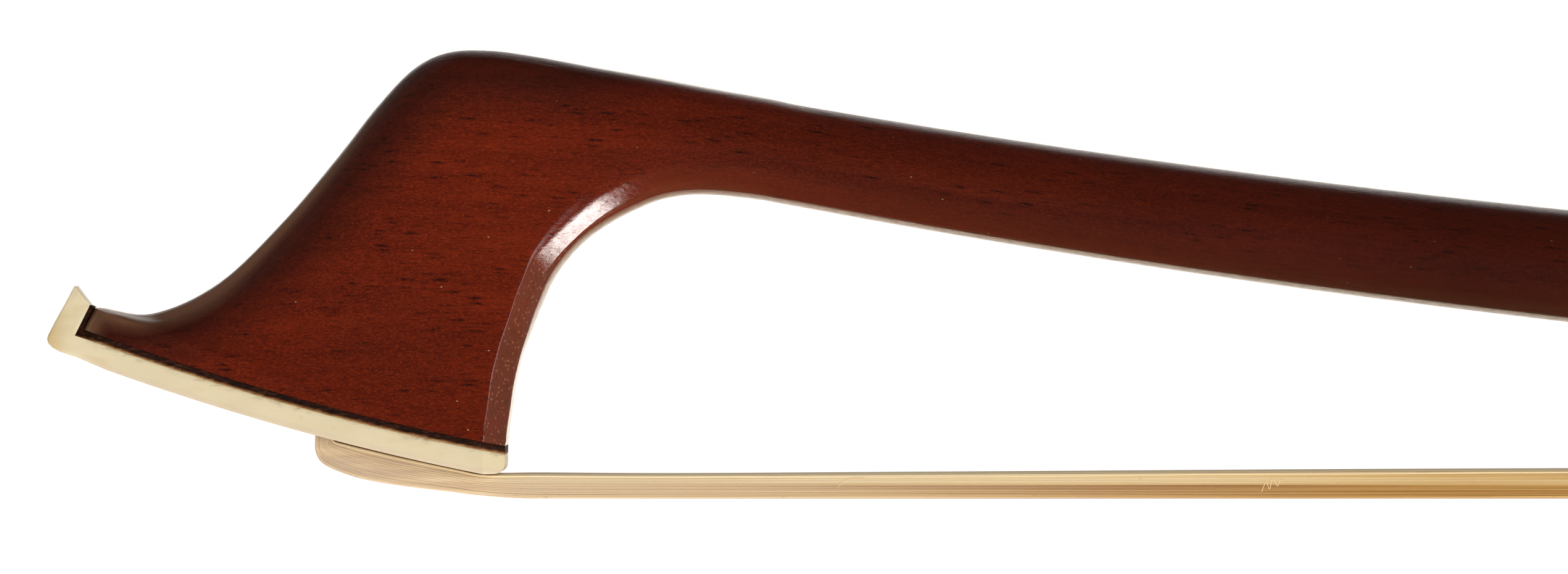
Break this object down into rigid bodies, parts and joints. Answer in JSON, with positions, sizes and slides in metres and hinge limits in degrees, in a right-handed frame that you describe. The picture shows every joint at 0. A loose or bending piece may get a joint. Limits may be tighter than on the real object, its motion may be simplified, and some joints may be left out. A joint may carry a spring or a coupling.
{
  "type": "cello bow",
  "caption": "Full-size cello bow: cambered stick with carved head, head plate, horsehair ribbon, frog on a screw and eyelet, and a turning button that tightens the hair.",
  "frame": {"origin": "middle of the bow's length and width, on the plane that the hair at the head and the ferrule's flat rest on", "axes": "+X along the bow from head to button, +Z from the hair up to the stick, +Y across, so that -Y faces the picture's camera"},
  "size_m": [0.7132, 0.014, 0.0323],
  "materials": {
    "pernambuco": "gloss varnish",
    "ebony": "polished",
    "bone": "satin",
    "hair": "fine strands",
    "plug_wood": "raw",
    "thread": "matt",
    "leather": "grained",
    "pale_winding": "satin",
    "dark_winding": "satin",
    "silver": "polished",
    "brass": "machined",
    "steel": "machined",
    "pearl": "iridescent"
  },
  "bodies": {
    "stick": {"stick": "pernambuco", "head_lining": "ebony", "head_plate": "bone", "head_plug": "plug_wood", "tip_hair_knot": "hair", "tip_knot_thread": "thread", "hair_hank": "hair", "thumb_leather": "leather", "lapping_base": "pale_winding", "lapping_strip": "dark_winding"},
    "frog": {"frog_body": "ebony", "ferrule": "silver", "spread_wedge": "plug_wood", "frog_plug": "plug_wood", "frog_hair_knot": "hair", "frog_knot_thread": "thread", "slide_pearl": "pearl", "slide_base": "ebony", "heel_plate": "silver", "back_plate": "silver", "heel_pin": "silver", "back_pin_lower": "silver", "back_pin_upper": "silver", "eye_ring_left": "silver", "eye_ring_right": "silver", "eye_pearl_left": "pearl", "eye_pearl_right": "pearl", "underslide": "silver", "underslide_pin_front": "silver", "underslide_pin_rear": "silver", "eyelet": "brass"},
    "screw": {"screw": "steel", "button_front_ring": "silver", "button_core": "ebony", "button_rear_ring": "silver", "button_eye": "pearl", "button_pin_front": "silver", "button_pin_rear": "silver"}
  },
  "joints": [
    {"name": "screw_turn", "type": "hinge", "parent": "stick", "child": "screw", "pos_m": [0.33987, 0, 0.02601], "axis": [-0.9987, 0, -0.0518], "range_deg": [-2520, 1440]},
    {"name": "frog_slide", "type": "slide", "parent": "stick", "child": "frog", "axis": [0.9987, 0, 0.0518], "range_m": [-0.0049, 0.0028], "deforming": ["hair_hank"]}
  ],
  "couplings": [
    {"joint": "screw_turn", "follows": "frog_slide", "rad_per_m": 8976}
  ]
}
